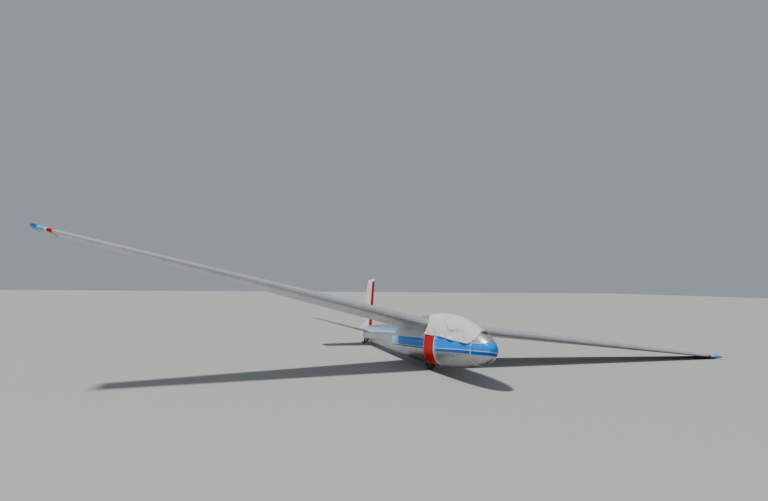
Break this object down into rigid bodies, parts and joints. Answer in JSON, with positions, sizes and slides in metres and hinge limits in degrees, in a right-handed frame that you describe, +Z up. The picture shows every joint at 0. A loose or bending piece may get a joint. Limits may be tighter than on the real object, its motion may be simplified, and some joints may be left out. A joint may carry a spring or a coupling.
{
  "type": "sailplane glider",
  "caption": "Parked two-seat training sailplane, shoulder wing swept slightly forward, resting on its wheel, tail skid and one wing tip, cloth cover over the canopy.",
  "frame": {"origin": "centre of the whole object's footprint, on the ground it is parked on", "axes": "+X towards the nose, +Y towards the port wing tip, which rests on the ground, +Z up from the ground"},
  "size_m": [8.4482, 15.9572, 2.8835],
  "materials": {
    "skin": "bare dulled aluminium sheet with rivet rows, painted blue, red and light blue bands on fuselage and tips",
    "tail_paint": "silver-white paint with a dark red leading edge",
    "tip_paint": "gloss blue paint",
    "frame_paint": "white paint",
    "glazing": "clear acrylic",
    "cover_cloth": "pale grey coated cloth, folded and creased",
    "strap_webbing": "pale woven webbing",
    "tyre": "black rubber",
    "gear_metal": "dark grey paint, worn",
    "bright_steel": "bright steel",
    "cockpit_trim": "matt black",
    "seat_leather": "brown leather",
    "buffer_rubber": "black rubber"
  },
  "bodies": {
    "airframe": {"nose_cap": "skin", "fuselage_front": "skin", "fuselage_centre": "skin", "tail_cone": "skin", "air_scoop": "skin", "tow_hook": "gear_metal", "cover_skirt": "cover_cloth", "strap_front": "strap_webbing", "strap_rear": "strap_webbing", "seat_front": "gear_metal", "cushion_front": "seat_leather", "panel_front": "cockpit_trim", "stick_front": "cockpit_trim", "pedals_front": "gear_metal", "seat_rear": "gear_metal", "cushion_rear": "seat_leather", "panel_rear": "cockpit_trim", "stick_rear": "cockpit_trim", "pedals_rear": "gear_metal", "wing_port": "skin", "tip_body_port": "tip_paint", "wing_starboard": "skin", "tip_body_starboard": "tip_paint", "fin": "tail_paint", "tailplane_port": "skin", "tailplane_starboard": "skin", "axle": "bright_steel", "wheel_fork": "gear_metal", "tail_skid": "gear_metal", "skid_buffer": "buffer_rubber"},
    "canopy": {"canopy_frame": "frame_paint", "glass_front": "glazing", "glass_middle": "glazing", "glass_rear": "glazing", "cover_main": "cover_cloth"},
    "main_wheel": {"tyre": "tyre", "hub": "skin"},
    "rudder": {"rudder": "tail_paint"},
    "aileron_port": {"aileron_port": "skin"},
    "flap_port": {"flap_port": "skin"},
    "elevator_port": {"elevator_port": "skin"},
    "airbrake_upper_port": {"airbrake_upper_port": "skin"},
    "airbrake_lower_port": {"airbrake_lower_port": "skin"},
    "aileron_starboard": {"aileron_starboard": "skin"},
    "flap_starboard": {"flap_starboard": "skin"},
    "elevator_starboard": {"elevator_starboard": "skin"},
    "airbrake_upper_starboard": {"airbrake_upper_starboard": "skin"},
    "airbrake_lower_starboard": {"airbrake_lower_starboard": "skin"}
  },
  "joints": [
    {"name": "canopy_lift", "type": "hinge", "parent": "airframe", "child": "canopy", "pos_m": [1.90901, -0.43041, 0.8274], "axis": [0.9999, -0.0095, 0.0138], "range_deg": [0, 80]},
    {"name": "wheel_turn", "type": "hinge", "parent": "airframe", "child": "main_wheel", "pos_m": [1.63262, -0.21799, 0.17724], "axis": [0.0118, 0.985, -0.1723], "continuous": true},
    {"name": "aileron_port_turn", "type": "hinge", "parent": "airframe", "child": "aileron_port", "pos_m": [1.13828, 4.45362, 0.38389], "axis": [0.1558, 0.9828, -0.0996], "range_deg": [-13, 34]},
    {"name": "aileron_starboard_turn", "type": "hinge", "parent": "airframe", "child": "aileron_starboard", "pos_m": [1.4609, -7.64692, 2.73487], "axis": [-0.1326, 0.9616, -0.2405], "range_deg": [-13, 34]},
    {"name": "flap_port_run", "type": "hinge", "parent": "airframe", "child": "flap_port", "pos_m": [0.52819, 0.31441, 0.20068], "axis": [-0.1508, -0.9834, 0.1009], "range_deg": [0, 10]},
    {"name": "flap_starboard_run", "type": "hinge", "parent": "airframe", "child": "flap_starboard", "pos_m": [1.02754, -4.54366, 1.33556], "axis": [0.1275, -0.9625, 0.2395], "range_deg": [0, 10]},
    {"name": "airbrake_upper_port_slide", "type": "slide", "parent": "airframe", "child": "airbrake_upper_port", "axis": [-0.0676, 0.1166, 0.9909], "range_m": [0, 0.12]},
    {"name": "airbrake_lower_port_slide", "type": "slide", "parent": "airframe", "child": "airbrake_lower_port", "axis": [0.0676, -0.1157, -0.991], "range_m": [0, 0.12]},
    {"name": "airbrake_upper_starboard_slide", "type": "slide", "parent": "airframe", "child": "airbrake_upper_starboard", "axis": [-0.0663, 0.2282, 0.9713], "range_m": [0, 0.12]},
    {"name": "airbrake_lower_starboard_slide", "type": "slide", "parent": "airframe", "child": "airbrake_lower_starboard", "axis": [0.0663, -0.2292, -0.9711], "range_m": [0, 0.12]},
    {"name": "elevator_port_turn", "type": "hinge", "parent": "airframe", "child": "elevator_port", "pos_m": [-3.45311, 0.0817, 0.37546], "axis": [0.0067, 0.9953, -0.0962], "range_deg": [-25, 32]},
    {"name": "elevator_starboard_turn", "type": "hinge", "parent": "airframe", "child": "elevator_starboard", "pos_m": [-3.48377, -1.8196, 0.82908], "axis": [0.0167, 0.9688, -0.2474], "range_deg": [-25, 32]},
    {"name": "rudder_turn", "type": "hinge", "parent": "airframe", "child": "rudder", "pos_m": [-3.61983, -0.15461, 0.18121], "axis": [-0.067, 0.1727, 0.9827], "range_deg": [-30, 30]}
  ],
  "couplings": [
    {"joint": "flap_starboard_run", "follows": "flap_port_run", "ratio": 1},
    {"joint": "elevator_starboard_turn", "follows": "elevator_port_turn", "ratio": 1},
    {"joint": "airbrake_lower_port_slide", "follows": "airbrake_upper_port_slide", "ratio": 1},
    {"joint": "airbrake_upper_starboard_slide", "follows": "airbrake_upper_port_slide", "ratio": 1},
    {"joint": "airbrake_lower_starboard_slide", "follows": "airbrake_upper_port_slide", "ratio": 1}
  ]
}
